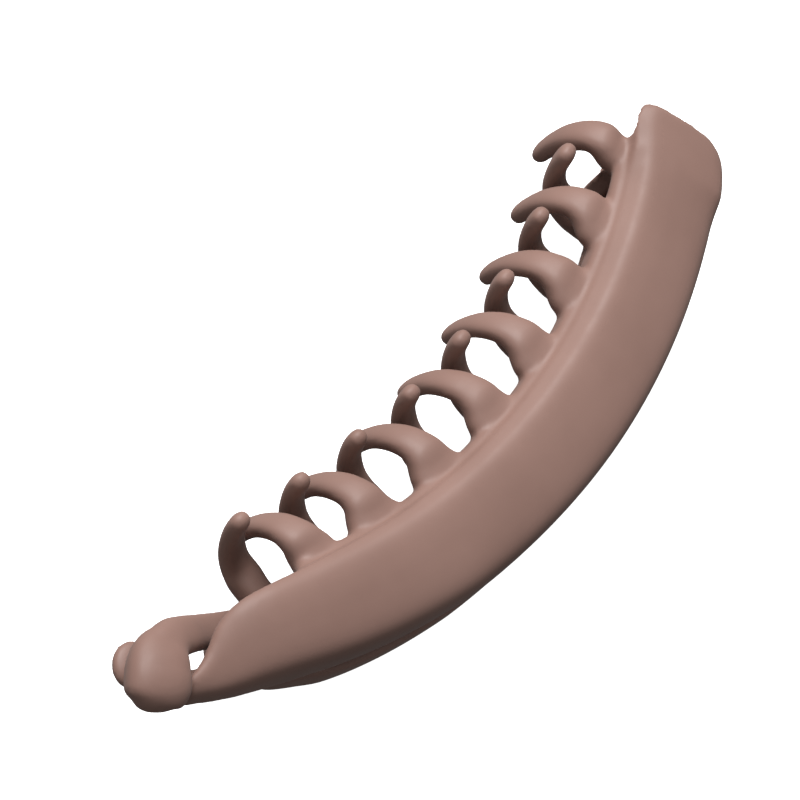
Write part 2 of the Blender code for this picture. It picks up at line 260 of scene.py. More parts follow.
# %% Both covers toward the hinge
HINGE_END_DEG = 35.15
HINGE_END = table(
    "back  inner_add outer_less foot upper_web lower_web",
    (0.0,  1.2,      3.4,       6.4, 0.0,      0.0),
    (0.3,  0.5,      2.2,       6.3, 0.0,      0.0),
    (0.8, -0.05,     1.2,       6.2, 0.0,      0.0),
    (1.5, -0.3,      0.6,       6.1, 0.0,      0.0),
    (2.2, -0.35,     0.3,       5.9, 0.0,      0.0),
    (2.9, -0.15,     0.1,       5.8, 0.4,      0.0),
    (3.5,  0.0,      0.0,       5.7, 1.0,      0.0),
    (3.9,  0.0,      0.0,       5.6, 1.0,      0.0),
    (4.7,  0.0,      0.0,       4.0, 1.0,      0.0),
    (5.7,  0.0,      0.0,       2.3, 1.0,      0.2),
    (6.7,  0.0,      0.0,       1.6, 1.0,      1.0),
    (8.0,  0.0,      0.0,       1.6, 1.0,      1.0),
)
print("the covers end at", HINGE_END_DEG, "degrees")

# %% [markdown]
# ## What changes slowly along a cover
# Three things drift over the whole length. The lower half's concave edge is cut back toward the hinge, or it
# would show through the gaps in the comb. The convex edge swings out a little toward the hinge. The slanted
# strip is narrow at the catch and reaches its full width near the hinge. Short tables of their own keep
# these apart from the sections.

# %% Tables for the slow changes
LOWER_CUT = table(
    "deg add",
    (-6, 0.0),
    (2,  0.3),
    (8,  0.7),
    (15, 1.1),
    (22, 1.4),
    (28, 1.7),
    (32, 2.4),
    (36, 2.6),
)
OUTER_EDGE = table(
    "deg outer",
    (-6, 127.3),
    (0,  127.4),
    (10, 127.7),
    (20, 127.85),
    (30, 127.9),
)
STRIP_SHARE = table(
    "deg share",
    (-26, 0.3),
    (-20, 0.42),
    (-10, 0.66),
    (5,   0.85),
    (20,  1.0),
    (36,  1.05),
)
print("the covers widen by", HINGE_OUTER_R - COVER_OUTER_R, "mm from the middle to the hinge")

# %% Sizes of a section at any angle
def lower_cut(deg):
    """How much further out the lower half's concave edge lies than the upper one's."""
    return glide(deg, LOWER_CUT["deg"], LOWER_CUT["add"])[0]


def section_sizes(deg, catch_end):
    """Inner and outer radius, crown, foot of the wall, and share of the web, at this angle."""
    back = HINGE_END_DEG - deg
    if back < HINGE_END["back"][-1]:
        at_end = {name: glide(back, HINGE_END["back"], HINGE_END[name])[0] for name in HINGE_END}
        inner_add = at_end["inner_add"]
        outer_less = at_end["outer_less"]
        foot = at_end["foot"]
        web = at_end["upper_web"]
        if catch_end is LOWER_CATCH_END:
            inner_add += lower_cut(deg)
            web = at_end["lower_web"]
        return COVER_INNER_R + inner_add, HINGE_OUTER_R - outer_less, CROWN_Z, foot, web
    if deg < catch_end["deg"][-1]:
        names = ("inner", "outer", "crown", "foot", "web")
        return tuple(glide(deg, catch_end["deg"], catch_end[n])[0] for n in names)
    outer = glide(deg, OUTER_EDGE["deg"], OUTER_EDGE["outer"])[0]
    inner_add = lower_cut(deg) if catch_end is LOWER_CATCH_END else 0.0
    return COVER_INNER_R + inner_add, outer, CROWN_Z, WALL_FOOT_Z, 1.0


print("section at the middle:", [round(float(v), 2) for v in section_sizes(0, UPPER_CATCH_END)])

# %% [markdown]
# ## Underside and web
# A moulding has one wall thickness nearly everywhere, or it would shrink unevenly as it cools. So the
# underside follows the face at about two millimetres. Where the web runs, the ring dips to the lower ledge
# and comes back over its edge. Where the web stops, near both ends, the same points close in to a plain
# rounded edge. Both outlines have the same number of points, so one blends into the other. The web's foot
# rises toward the hinge, where the photo shows less of it in the gaps between the teeth.

# %% Sizes of the web and the underside
WEB_INNER_R = 111.0
WEB_TOP_Z = 7.3
WEB_FOOT_Z = 2.6
LOWER_WEB_INNER_R = 112.6
WEB_FOOT_RISE = 1.9
WEB_RISE_FROM_DEG = 23.5
WEB_RISE_TO_DEG = 28.5
FACE_T = 2.3
WALL_T_SHARE = 0.21
STRIP_END = 0.25
HOLLOW_POINTS = 11
LOWER_HOLLOW_FROM_DEG = -21.5
LOWER_HOLLOW_TO_DEG = -17.5
PLAIN_EDGE = table(
    "across rise",
    (0.3,   0.0),
    (0.24, -0.1),
    (0.18, -0.28),
    (0.13, -0.48),
    (0.09, -0.66),
    (0.06, -0.8),
    (0.035, -0.85),
    (0.015, -0.75),
    (0.003, -0.55),
    (0.0,  -0.35),
)
# how far in from the outside, in wall thicknesses, and how far above the foot
WALL_FOOT_ROUND = ((0.12, 0.12), (0.5, 0.0), (0.88, 0.2))
# how far in, in wall thicknesses, and what share of the way up to the underside of the face
WALL_INSIDE = ((1.0, 0.4), (1.3, 0.68), (2.1, 0.88))
print("the web is", round(WEB_TOP_Z - WEB_FOOT_Z, 1), "mm high in the middle")

# %% The whole ring of a section
def section(deg, catch_end):
    """Radius and z of each point round the channel."""
    inner, outer, crown, foot, web = section_sizes(deg, catch_end)
    span = outer - inner
    fall = (crown - foot) / (CROWN_Z - WALL_FOOT_Z)
    thick = min(WALL_T, WALL_T_SHARE * span)
    under = crown - FACE_T * min(fall, 1.0)
    strip = glide(deg, STRIP_SHARE["deg"], STRIP_SHARE["share"])[0]
    points = []
    for across, drop in zip(skin_across, skin_drop):
        if across < STRIP_END:
            across = across * (strip + (1 - strip) * across / STRIP_END)
            drop = drop * (strip + (1 - strip) * across / STRIP_END)
        points.append((inner + across * span, crown - drop * fall))
    # round the foot of the wall
    for inward, rise in WALL_FOOT_ROUND:
        points.append((outer - inward * thick, foot + rise * fall))
    # up the inside of the wall and across under the face
    hollow_from = len(points)
    for inward, rise in WALL_INSIDE:
        points.append((outer - inward * thick, foot + (under - foot) * rise))
    points.append((inner + 0.5 * span, under - 0.12 * fall))
    web_r = WEB_INNER_R if catch_end is UPPER_CATCH_END else LOWER_WEB_INNER_R + lower_cut(deg)
    web_foot = WEB_FOOT_Z + WEB_FOOT_RISE * ease(deg, WEB_RISE_FROM_DEG, WEB_RISE_TO_DEG)
    # down to the web's foot, in, and up its edge
    web_edge = [
        (inner + 3.6, under - 0.1),
        (inner + 2.3, under - 0.9),
        (inner + 1.9, web_foot + 1.6),
        (inner + 1.5, web_foot + 0.3),
        (inner + 1.0, web_foot),
        (web_r + 0.9, web_foot),
        (web_r + 0.15, web_foot + 0.6),
        (web_r, web_foot + 1.4),
        (web_r + 0.15, WEB_TOP_Z - 0.9),
        (web_r + 0.7, WEB_TOP_Z - 0.1),
    ]
    for across, rise, (radius, z) in zip(PLAIN_EDGE["across"], PLAIN_EDGE["rise"], web_edge):
        plain_radius = inner + across * span
        plain_z = under + rise * strip * fall
        points.append((plain_radius + (radius - plain_radius) * web, plain_z + (z - plain_z) * web))
    # close the ring in the crease between the web and the slanted strip
    crease_z = crown - SKIN["drop"][0] * strip * fall
    points.append((inner - 0.15 * web, crease_z - 0.05 + (WEB_TOP_Z + 0.1 - crease_z) * web))
    if catch_end is LOWER_CATCH_END:
        # near the strap the channel fills up, so the moulding closes instead of ending as a fork
        hollow = ease(deg, LOWER_HOLLOW_FROM_DEG, LOWER_HOLLOW_TO_DEG)
        filled_z = foot + 0.3 * fall
        for k in range(hollow_from, hollow_from + HOLLOW_POINTS):
            radius, z = points[k]
            points[k] = (radius, filled_z + (z - filled_z) * hollow)
    return points


print(len(section(0, UPPER_CATCH_END)), "points round a section")

# %% [markdown]
# ## Along the curve
# The real cover is one long channel bent to the banana curve. A profile swept along a curve would keep one
# section, so the rings are placed one by one, every third of a degree, and skinned. Near the hinge each ring
# is turned a little, because the real cover is cut off aslant there.

# %% Carry the section along the curve
RING_STEP_DEG = 0.3
END_SLANT = 0.11
SLANT_FROM_DEG = 20.0
SLANT_R = 114.0
SLANT_INWARD_LIMIT = -1.0


def cover(name, catch_end, side):
    """One cover with its web. The slant grows with the distance from SLANT_R."""
    start = catch_end["deg"][0]
    count = int((HINGE_END_DEG - start) / RING_STEP_DEG) + 1
    rings = []
    for deg in np.linspace(start, HINGE_END_DEG, count):
        slant = END_SLANT * ease(deg, SLANT_FROM_DEG, HINGE_END_DEG)
        ring = []
        for radius, z in section(deg, catch_end):
            turned_back = slant * max(radius - SLANT_R, SLANT_INWARD_LIMIT)
            ring.append(on_arc(deg - turned_back, radius, z))
        rings.append(ring)
    return skin(name, rings, side)


upper_pieces = [cover("upper_cover", UPPER_CATCH_END, 1)]
lower_pieces = [cover("lower_cover", LOWER_CATCH_END, -1)]
print("covers:", [len(piece.data.polygons) for piece in upper_pieces + lower_pieces], "faces")

# %% [markdown]
# ## Limbs
# Teeth, tongue, strap and thumb are all limbs: rounded rings along a bent line, wide one way and shallow
# the other. A bevelled curve would make them round. Here the ring is a superellipse, a circle squared off a
# little, because a mould leaves flattish faces with round edges.

# %% A limb along a path
LIMB_POINTS = 28
LIMB_SQUARENESS = 2.5


def limb(name, path, half_widths, half_depths, widths, side=1):
    """widths gives each ring the unit vector along its width."""
    along = np.gradient(path, axis=0)
    along /= np.linalg.norm(along, axis=1)[:, None]
    rings = []
    for centre, way, half_width, half_depth, wide in zip(path, along, half_widths, half_depths, widths):
        wide = wide - way * wide.dot(way)
        wide /= np.linalg.norm(wide)
        deep = np.cross(way, wide)
        ring = []
        for k in range(LIMB_POINTS):
            turn = 2 * math.pi * (k + 0.5) / LIMB_POINTS
            c = math.cos(turn)
            s = math.sin(turn)
            wide_part = wide * half_width * math.copysign(abs(c) ** (2 / LIMB_SQUARENESS), c)
            deep_part = deep * half_depth * math.copysign(abs(s) ** (2 / LIMB_SQUARENESS), s)
            ring.append(centre + wide_part + deep_part)
        rings.append(ring)
    return skin(name, rings, side)


print("a limb has", LIMB_POINTS, "points round it")

# %% [markdown]
# ## The teeth
# A tooth leaves the web as a broad foot, runs out toward the hair, and curls over to cross the teeth of the
# other half. Its path needs two motions that start at different times: out first, then down. A sine and a
# cosine, each bent by a power, give that. An upper tooth also rises a little first, like an arch. The foot
# flares so that the valleys between the teeth come out round.
# Every tooth is the same form, and a row of the table sets it in its place. The columns are the angle of its
# root, how far it leans and reaches beyond the rule, how far its tip stands aside, how much the foot flares
# toward the catch and toward the hinge, and how much deeper or wider it is.

# %% The rules that all teeth follow
TOOTH_ROOT_R = 111.4
TOOTH_ROOT_Z = 5.0
FOOT_DEPTH = 1.6
TOOTH_TIP_Z = -7.3
LOWER_TOOTH_TIP_Z = -6.9
TOOTH_REACH_BEND = 0.58
TOOTH_DROP_BEND = 0.97
ARCH_RISE = 0.55
LOWER_ARCH_RISE = 0.0
ARCH_UP_BY = 0.1
ARCH_DOWN_FROM = 0.12
ARCH_DOWN_BY = 0.5
# a tooth leans more the further its root is from the middle
TOOTH_LEAN_DEG = -1.4
LEAN_PER_DEG = -0.39
LOWER_LEAN_ADD = -4.0
# the tips lie on a flat arc
TIP_X = -6.0
TIP_Y = -0.3
TIP_ARC_R = 150.0
print("a tooth drops", round(TOOTH_ROOT_Z - TOOTH_TIP_Z, 1), "mm from root to tip")

# %% The eight teeth of each half
UPPER_TEETH = table(
    "root_deg lean_add reach_add aside to_catch to_hinge deeper wider",
    (31.4,    0.0,     0.4,      0.0,  0.3,    -0.1,     0.25,  0.1),
    (24.9,    2.0,     0.0,      0.0,  0.85,    0.5,     0.1,   0.0),
    (18.3,    1.0,     0.0,      0.0,  0.85,    0.5,     0.0,   0.0),
    (11.6,    0.0,     0.0,      0.0,  0.85,    0.5,     0.0,   0.0),
    (4.9,     0.0,     0.0,      0.0,  0.85,    0.5,     0.0,   0.0),
    (-2.0,    0.0,     0.0,      0.0,  0.85,    0.5,     0.0,   0.0),
    (-8.8,    0.0,     0.0,      0.0,  0.85,    0.5,     0.0,   0.0),
    (-15.2,   0.0,    -0.3,      0.0,  0.2,     0.6,     0.0,   0.0),
)
LOWER_TEETH = table(
    "root_deg lean_add reach_add aside to_catch to_hinge deeper wider",
    (28.3,    1.8,    -0.4,     -0.2,  0.2,    -0.3,     0.0,   0.35),
    (22.0,    0.5,    -0.8,     -0.5,  0.2,    -0.1,     0.0,   0.2),
    (15.3,    0.0,    -0.8,     -0.6,  0.1,     0.0,     0.0,   0.25),
    (8.4,     0.0,    -0.6,     -0.9,  0.1,     0.0,     0.0,   0.3),
    (1.6,     0.0,    -0.2,     -0.9,  0.1,     0.0,     0.0,   0.2),
    (-4.9,    0.7,     0.3,     -0.6,  0.1,     0.0,     0.0,   0.1),
    (-11.2,   0.0,     0.3,     -0.6,  0.1,    -0.2,     0.0,   0.1),
    (-17.1,  -5.0,     0.1,     -0.7,  0.1,    -0.4,     0.0,   0.2),
)
print("teeth:", len(UPPER_TEETH["root_deg"]), "above and", len(LOWER_TEETH["root_deg"]), "below")

# %% How wide and deep a tooth is along its length
FLARE = table(
    "along flare",
    (0.0,  2.7),
    (0.02, 1.9),
    (0.05, 1.2),
    (0.09, 0.6),
    (0.14, 0.2),
    (0.2,  0.0),
    (1.0,  0.0),
)
TOOTH = table(
    "along half_width half_depth",
    (0.0,   2.85,     2.2),
    (0.06,  2.85,     2.1),
    (0.12,  2.85,     1.9),
    (0.2,   2.72,     1.65),
    (0.3,   2.55,     1.55),
    (0.42,  2.35,     1.5),
    (0.55,  2.1,      1.45),
    (0.68,  1.85,     1.4),
    (0.8,   1.7,      1.4),
    (0.9,   1.55,     1.35),
    (0.96,  1.3,      1.15),
    (0.99,  0.8,      0.75),
    (1.0,   0.3,      0.3),
)
# closer rings at the foot and at the tip, where the form changes fastest
TOOTH_STEPS = np.concatenate([
    np.linspace(0, 0.1, 12)[:-1],
    np.linspace(0.1, 0.9, 34),
    np.linspace(0.91, 1, 12),
])
print("a tooth is", 2 * TOOTH["half_width"][0], "mm wide where it leaves the web")

# %% Grow the teeth
ASIDE_FROM = 0.4
SQUARED_BY = 0.2
WIDER_FROM = 0.25
WIDER_BY = 0.6


def tooth(name, row, side):
    """One tooth, from inside the web to its tip. side is 1 for the upper half and -1 for the lower."""
    root_deg, lean_add, reach_add, aside, to_catch, to_hinge, deeper, wider = row
    side_lean = 0.0 if side > 0 else LOWER_LEAN_ADD
    lean = math.radians(TOOTH_LEAN_DEG + LEAN_PER_DEG * root_deg + lean_add + side_lean)
    tip_z = TOOTH_TIP_Z if side > 0 else LOWER_TOOTH_TIP_Z
    arch_rise = ARCH_RISE if side > 0 else LOWER_ARCH_RISE
    foot_depth = FOOT_DEPTH if side > 0 else FOOT_DEPTH + lower_cut(root_deg)
    way = np.array([math.sin(lean), math.cos(lean), 0.0])
    across = np.array([math.cos(lean), -math.sin(lean), 0.0])
    turn = math.radians(root_deg)
    web_way = np.array([math.cos(turn), math.sin(turn), 0.0])
    root = on_arc(root_deg, TOOTH_ROOT_R, TOOTH_ROOT_Z)
    tip_y = TIP_Y + (root[0] - TIP_X) ** 2 / (2 * TIP_ARC_R) + reach_add
    reach = (tip_y - root[1]) / way[1]
    flare = glide(TOOTH_STEPS, FLARE["along"], FLARE["flare"])
    path = [root - way * foot_depth + web_way * flare[0] * (to_hinge - to_catch) / 2]
    widths = [web_way]
    for t, spread in zip(TOOTH_STEPS[1:], flare[1:]):
        out = math.sin(t * math.pi / 2) ** TOOTH_REACH_BEND
        drop = (1 - math.cos(t * math.pi / 2)) ** TOOTH_DROP_BEND
        lift = arch_rise * (ease(t, 0.0, ARCH_UP_BY) - ease(t, ARCH_DOWN_FROM, ARCH_DOWN_BY))
        fall = np.array([0, 0, (tip_z - TOOTH_ROOT_Z) * drop + lift])
        place = root + way * (reach * out) + fall
        place = place + web_way * spread * (to_hinge - to_catch) / 2
        place[0] += aside * ease(t, ASIDE_FROM, 1.0)
        path.append(place)
        turned = ease(t, 0.0, SQUARED_BY)
        widths.append(web_way * (1 - turned) + across * turned)
    half_widths = glide(TOOTH_STEPS, TOOTH["along"], TOOTH["half_width"])
    half_widths += flare * (to_hinge + to_catch) / 2
    half_widths += wider * np.array([ease(t, WIDER_FROM, WIDER_BY) for t in TOOTH_STEPS])
    half_depths = glide(TOOTH_STEPS, TOOTH["along"], TOOTH["half_depth"])
    half_depths += deeper * np.sin(TOOTH_STEPS * math.pi) ** 2
    return limb(name, np.array(path), half_widths, half_depths, widths, side)


for number, row in enumerate(zip(*UPPER_TEETH.values()), 1):
    upper_pieces.append(tooth(f"upper_tooth_{number}", row, 1))
for number, row in enumerate(zip(*LOWER_TEETH.values()), 1):
    lower_pieces.append(tooth(f"lower_tooth_{number}", row, -1))
print("pieces with teeth:", len(upper_pieces) + len(lower_pieces))

# %% [markdown]
# ## The catch
# The upper half tapers to a tongue. The lower half sends a strap up past it, and the knob at the strap's end
# hooks over the tongue. Each could be cut from a block, but a mould maker thinks of them as bent bars. So
# both are limbs whose few rows say where they pass, how wide and deep they are, and which way the width
# lies, given as an angle about the curve's centre. Here the heights of both halves are given as they lie.

# %% Tongue and strap
STRAP_RINGS = 60
TONGUE = table(
    "x      y      z    half_width half_depth turn",
    (-50.4, -11.0, 6.0, 2.6,       1.2,       -26),
    (-52.1, -10.4, 5.6, 2.8,       1.4,       -25),
    (-54.4, -9.9,  4.4, 2.7,       1.5,       -26),
    (-56.5, -9.9,  3.0, 2.1,       1.45,      -30),
    (-58.1, -8.75, 1.7, 2.15,      1.35,      -38),
    (-59.5, -7.05, 1.1, 2.5,       1.3,       -50),
    (-60.5, -4.9,  0.9, 2.7,       1.25,      -60),
    (-61.3, -2.8,  0.8, 3.3,       1.2,       -63),
    (-62.2, -1.2,  0.8, 3.5,       1.2,       -63),
    (-62.9, -0.1,  0.8, 2.9,       1.1,       -63),
    (-63.35, 0.6,  0.8, 1.8,       0.8,       -63),
    (-63.55, 0.9,  0.8, 0.6,       0.4,       -63),
)
STRAP = table(
    "x      y      z     half_width half_depth turn",
    (-35.2, -10.3, -7.2, 2.4,      1.2,       -20),
    (-37.8, -9.3,  -6.7, 2.6,      1.5,       -20),
    (-41.5, -7.9,  -5.2, 2.6,      1.5,       -20),
    (-46.2, -6.2,  -2.5, 2.65,     1.55,      -20),
    (-50.6, -4.6,  0.8,  2.6,      1.5,       -20),
    (-54.7, -3.3,  3.8,  2.75,     1.75,      -18),
    (-57.6, -2.6,  5.3,  3.0,      2.1,       -4),
    (-60.0, -2.9,  6.0,  3.3,      2.4,       18),
    (-61.8, -3.8,  6.2,  3.0,      2.2,       34),
)


def limb_from(name, rows, ring_count):
    """A limb through the rows of a table, made finer along its length."""
    order = np.arange(len(rows["x"]))
    fine = np.linspace(0, order[-1], ring_count)
    column = {key: glide(fine, order, rows[key]) for key in rows}
    path = np.stack([column["x"], column["y"], column["z"]], axis=1)
    widths = [outward(turn) for turn in column["turn"]]
    return limb(name, path, column["half_width"], column["half_depth"], widths)


upper_pieces.append(limb_from("tongue", TONGUE, STRAP_RINGS))
lower_pieces.append(limb_from("strap", STRAP, STRAP_RINGS))
print("tongue and strap made")

# %% [markdown]
# ## The thumb
# The knob is where a thumb pushes to open the clip. A flattened ball would do for its shape, but not for
# its lean. So it is a short, thick limb: it starts inside the strap's end, swells over the tongue, and
# closes in a round edge.

# %% The thumb of the catch
THUMB = table(
    "x      y      z    half_width half_depth turn",
    (-57.9, -2.0,  5.7, 1.6,       1.0,       41),
    (-58.4, -2.2,  5.8, 2.8,       1.8,       41),
    (-60.1, -2.8,  6.1, 3.8,       2.4,       42),
    (-61.6, -3.5,  6.3, 4.3,       2.8,       43),
    (-62.9, -4.3,  6.4, 4.5,       3.0,       45),
    (-64.0, -5.3,  6.4, 4.65,      3.1,       47),
    (-65.0, -6.2,  6.3, 4.65,      3.0,       50),
    (-65.85, -7.1, 5.9, 4.0,       2.7,       52),
    (-66.5, -7.7,  5.5, 2.9,       2.0,       53),
    (-66.9, -8.2,  5.2, 1.2,       0.9,       54),
)
THUMB_RINGS = 48
lower_pieces.append(limb_from("thumb", THUMB, THUMB_RINGS))
print("thumb:", 2 * max(THUMB["half_width"]), "mm wide")

# %% [markdown]
# ## The hinge
# The hinge is hidden under the covers' wide end: one knuckle on the upper half between two on the lower,
# with a pin through them. A knuckle is a drum on a short lug. A cylinder and a box would need joining, so
# one outline is drawn round both and carried across the knuckle's width. The hole is cut last, after the
# smoothing, so that it stays round.

# %% Knuckles
HINGE_X = 59.9
HINGE_Y = -1.5
HINGE_Z = 0.0
KNUCKLE_R = 3.3
KNUCKLE_GAP = 0.35
LOWER_KNUCKLE_W = 3.2
UPPER_KNUCKLE_W = 4.9
KNUCKLE_STEP = UPPER_KNUCKLE_W / 2 + KNUCKLE_GAP + LOWER_KNUCKLE_W / 2
KNUCKLE_FACETS = 24
LUG_FOOT_Z = 3.0
LUG_TOP_Z = 8.0
LUG_SPREAD = 1.2
LUG_TAPER = 0.9


def knuckle(name, centre_y, width, side):
    """Half a drum round the hinge line, with a lug that runs up into the cover."""
    shape = [(HINGE_X - KNUCKLE_R - LUG_SPREAD, LUG_TOP_Z), (HINGE_X - KNUCKLE_R, LUG_FOOT_Z)]
    for k in range(KNUCKLE_FACETS + 1):
        turn = math.pi + k * math.pi / KNUCKLE_FACETS
        shape.append((HINGE_X + KNUCKLE_R * math.cos(turn), HINGE_Z + KNUCKLE_R * math.sin(turn)))
    shape.append((HINGE_X + KNUCKLE_R, LUG_FOOT_Z))
    shape.append((HINGE_X + KNUCKLE_R - LUG_TAPER, LUG_TOP_Z))
    ends = (centre_y - width / 2, centre_y + width / 2)
    return skin(name, [[np.array([x, y, z]) for x, z in shape] for y in ends], side)


upper_pieces.append(knuckle("upper_knuckle", HINGE_Y, UPPER_KNUCKLE_W, 1))
lower_pieces.append(knuckle("lower_knuckle_front", HINGE_Y - KNUCKLE_STEP, LOWER_KNUCKLE_W, -1))
lower_pieces.append(knuckle("lower_knuckle_back", HINGE_Y + KNUCKLE_STEP, LOWER_KNUCKLE_W, -1))
print("knuckles are", KNUCKLE_GAP, "mm apart")

# %% [markdown]
# ## From separate forms to one moulding
# The real half comes out of its mould in one piece, with soft inside corners. A Boolean union would join
# the forms but leave a hard line at every seam. A voxel remesh wraps them all in one even skin, and a
# smoothing pass then melts the seams into fillets, as a mould maker's cutter would leave them.

# %% Join, wrap and soften
VOXEL = 0.40 * MM
SOFT_ROUNDS = 7
SOFT_FACTOR = 0.5


def baked(piece):
    """Replaces a piece's mesh by what its modifiers make of it."""
    graph = bpy.context.evaluated_depsgraph_get()
    mesh = bpy.data.meshes.new_from_object(piece.evaluated_get(graph))
    piece.modifiers.clear()
    piece.data = mesh
    return piece


def moulded(name, forms):
    """One even skin round several overlapping forms."""
    bm = bmesh.new()
    for form in forms:
        bm.from_mesh(form.data)
    mesh = bpy.data.meshes.new(name)
    bm.to_mesh(mesh)
    bm.free()
    for form in forms:
        bpy.data.objects.remove(form, do_unlink=True)
    piece = bpy.data.objects.new(name, mesh)
    bpy.context.scene.collection.objects.link(piece)
    wrap = piece.modifiers.new("wrap", "REMESH")
    wrap.mode = "VOXEL"
    wrap.voxel_size = VOXEL
    soften = piece.modifiers.new("soften", "SMOOTH")
    soften.factor = SOFT_FACTOR
    soften.iterations = SOFT_ROUNDS
    return baked(piece)


upper_half = moulded("upper_moulding", upper_pieces)
lower_half = moulded("lower_moulding", lower_pieces)
print("faces:", len(upper_half.data.polygons), len(lower_half.data.polygons))

# %% [markdown]
# ## The hole for the pin
# On the real clip a steel core in the mould would leave the hole. Here one rod is subtracted from both
# halves, so that the holes are in line. The faces then get smooth shading, but edges sharper than a set
# angle, such as the rim of the hole, stay crisp.

# %% Bore the knuckles
BORE_R = 1.55
BORE_REACH = 8.0
SHARP_DEG = 50


def rod(name, low_y, high_y, radius, chamfer=0.0, points=64):
    """A round bar along Y through the hinge, its ends chamfered if a chamfer is given."""
    profile = [(low_y, radius), (high_y, radius)]
    if chamfer > 0.0:
        profile = [
            (low_y, radius - chamfer),
            (low_y + chamfer, radius),
            (high_y - chamfer, radius),
            (high_y, radius - chamfer),
        ]
    rings = []
    for y, r in profile:
        turns = [2 * math.pi * k / points for k in range(points)]
        rings.append([np.array([HINGE_X + r * math.cos(a), y, HINGE_Z + r * math.sin(a)]) for a in turns])
    return skin(name, rings)


bore = rod("bore", HINGE_Y - BORE_REACH, HINGE_Y + BORE_REACH, BORE_R)
for half in (upper_half, lower_half):
    cut = half.modifiers.new("bore", "BOOLEAN")
    cut.operation = "DIFFERENCE"
    cut.solver = "MANIFOLD"
    cut.object = bore
    baked(half)
    half.data.shade_smooth()
    half.data.set_sharp_from_angle(angle=math.radians(SHARP_DEG))
bpy.data.objects.remove(bore, do_unlink=True)
print("faces after boring:", len(upper_half.data.polygons), len(lower_half.data.polygons))

# %% [markdown]
# ## The hinge pin
# The pin can't be seen in the photo. It is taken as a short piece of steel wire with a small chamfer at its
# ends. A plain cylinder would have no chamfer, so the rod helper makes it, thinner than the hole, and the
# halves can turn freely.

# %% The hinge pin
PIN_R = 1.2
PIN_REACH = KNUCKLE_STEP + LOWER_KNUCKLE_W / 2
PIN_CHAMFER = 0.2
PIN_SHARP_DEG = 30
pin = rod("turned_pin", HINGE_Y - PIN_REACH, HINGE_Y + PIN_REACH, PIN_R, chamfer=PIN_CHAMFER)
pin.data.shade_smooth()
pin.data.set_sharp_from_angle(angle=math.radians(PIN_SHARP_DEG))
print("pin length:", round(2 * PIN_REACH, 1), "mm")

# %% [markdown]
# ## Soft-touch plastic
# The photo shows one matte mauve-brown plastic with no pattern. What keeps such a surface from looking
# computed is small: a cloudy shift in the pigment, a slightly uneven gloss, the slow waviness of cooled
# plastic, and a very fine grain from the etched mould that breaks up the highlights. An image texture would
# need unwrapping. Noise in object space, at its real size, holds from any side.

# %% Node helpers
# nearly all values of a noise lie between these two
NOISE_LOW = 0.3
NOISE_HIGH = 0.7


def node(tree, kind, **inputs):
    """A node with some of its inputs set. An underscore in a name stands for a space."""
    made = tree.nodes.new(kind)
    for key, value in inputs.items():
        made.inputs[key.replace("_", " ")].default_value = value
    return made


def noise(tree, place, size_mm, detail=2.0, roughness=0.5):
    """Noise whose blotches are about size_mm across."""
    made = node(tree, "ShaderNodeTexNoise", Scale=1 / (size_mm * MM), Detail=detail, Roughness=roughness)
    tree.links.new(place, made.inputs["Vector"])
    return made.outputs["Fac"]


def remap(tree, value, low, high):
    """Moves a noise value to a range, from low to high."""
    made = node(tree, "ShaderNodeMapRange", To_Min=low, To_Max=high)
    made.inputs["From Min"].default_value = NOISE_LOW
    made.inputs["From Max"].default_value = NOISE_HIGH
    tree.links.new(value, made.inputs["Value"])
    return made.outputs["Result"]


def between(tree, share, first, second):
    """A colour between two, by share."""
    made = tree.nodes.new("ShaderNodeValToRGB")
    made.color_ramp.elements[0].color = first
    made.color_ramp.elements[1].color = second
    tree.links.new(share, made.inputs["Fac"])
    return made.outputs["Color"]


def empty_material(name):
    """A new material with only a Principled shader, and the object-space coordinates to work from."""
    made = bpy.data.materials.new(name)
    made.use_nodes = True
    shader = made.node_tree.nodes["Principled BSDF"]
    place = made.node_tree.nodes.new("ShaderNodeTexCoord").outputs["Object"]
    return made, made.node_tree, shader, place


print("node helpers are ready")

# %% Colours and sizes of the plastic's small variations
MAUVE_DARK = (0.240, 0.139, 0.112, 1.0)
MAUVE_LIGHT = (0.272, 0.160, 0.130, 1.0)
CLOUD_SIZE = 14.0
GLOSS_PATCH_SIZE = 3.0
ROUGHNESS_LOW = 0.46
ROUGHNESS_HIGH = 0.56
GRAIN_SIZE = 0.25
GRAIN_DEPTH = 0.02
WAVE_SIZE = 9.0
WAVE_DEPTH = 0.12
print("grain", GRAIN_SIZE, "mm, waves", WAVE_SIZE, "mm, clouds", CLOUD_SIZE, "mm")

# %% The plastic
plastic, tree, shader, place = empty_material("soft_touch_plastic")
clouds = remap(tree, noise(tree, place, CLOUD_SIZE, detail=3.0), 0.0, 1.0)
tree.links.new(between(tree, clouds, MAUVE_DARK, MAUVE_LIGHT), shader.inputs["Base Color"])
gloss = remap(tree, noise(tree, place, GLOSS_PATCH_SIZE), ROUGHNESS_LOW, ROUGHNESS_HIGH)
tree.links.new(gloss, shader.inputs["Roughness"])
shader.inputs["Specular IOR Level"].default_value = 0.35
shader.inputs["Sheen Weight"].default_value = 0.06
shader.inputs["Sheen Roughness"].default_value = 0.5
grain = node(tree, "ShaderNodeBump", Strength=0.25, Distance=GRAIN_DEPTH * MM)
tree.links.new(noise(tree, place, GRAIN_SIZE, detail=4.0), grain.inputs["Height"])
waves = node(tree, "ShaderNodeBump", Strength=0.35, Distance=WAVE_DEPTH * MM)
tree.links.new(noise(tree, place, WAVE_SIZE), waves.inputs["Height"])
tree.links.new(grain.outputs["Normal"], waves.inputs["Normal"])
tree.links.new(waves.outputs["Normal"], shader.inputs["Normal"])
print("plastic:", len(tree.nodes), "nodes")

